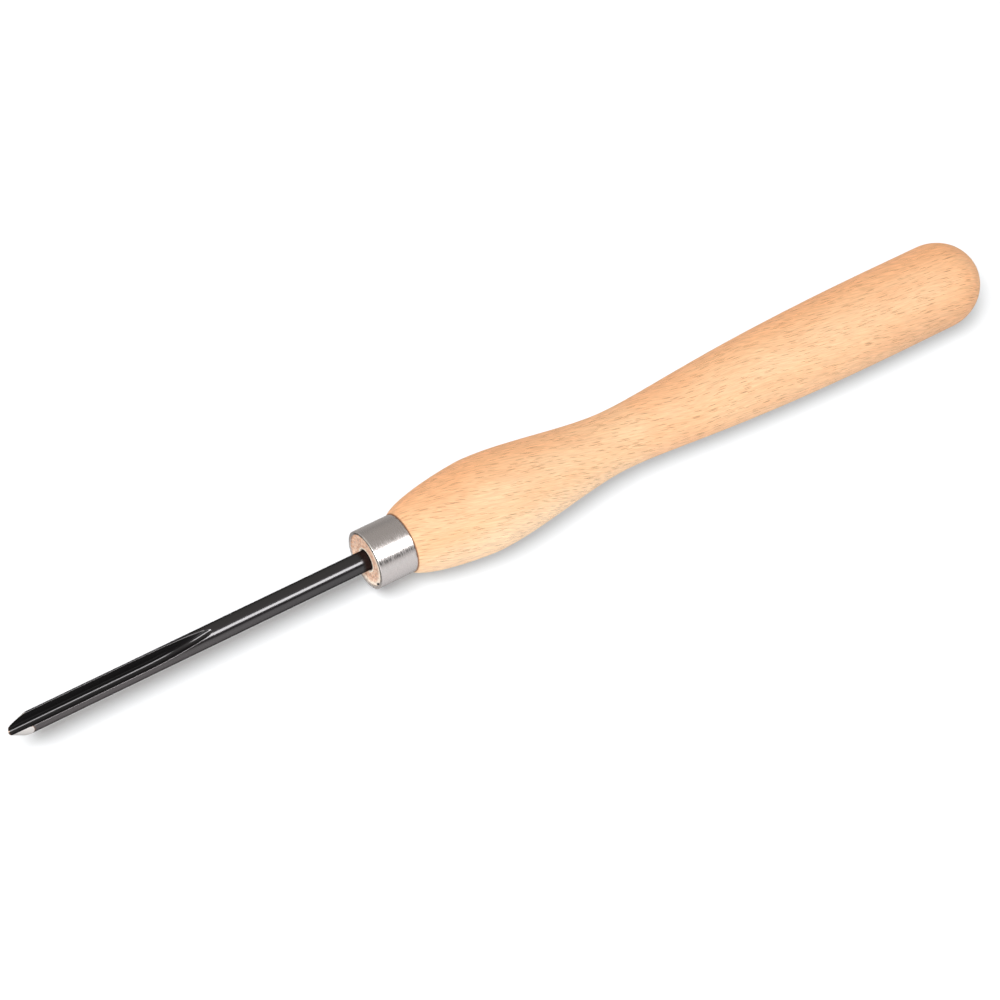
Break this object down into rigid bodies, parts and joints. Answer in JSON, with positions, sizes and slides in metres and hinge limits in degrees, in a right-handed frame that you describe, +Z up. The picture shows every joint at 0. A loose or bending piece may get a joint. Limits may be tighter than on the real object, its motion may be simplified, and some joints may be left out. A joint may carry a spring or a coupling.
{
  "type": "bowl gouge",
  "caption": "Woodturning bowl gouge: a deep-fluted round steel blade with a swept ground nose, a steel ferrule and a long turned beech handle with bulb, waist and domed butt.",
  "frame": {"origin": "on the ground plane below the middle of the tool's length and width", "axes": "+X along the tool from the cutting nose to the butt, +Z up out of the open flute, +Y to the flute's side"},
  "size_m": [0.5272, 0.045, 0.0449],
  "materials": {
    "black_steel": "smooth glossy near-black finish on high speed steel",
    "ground_steel": "bare steel of the bevel, with fine grinding lines",
    "ferrule_steel": "satin steel tube, fine lines round the tube",
    "beech": "pale beech with short brown flecks along the grain, smooth thin clear finish",
    "adhesive": "cured clear amber adhesive"
  },
  "bodies": {
    "root": {"gouge_blade": "black_steel", "ferrule": "ferrule_steel", "handle": "beech", "adhesive_bond": "adhesive"}
  },
  "joints": []
}
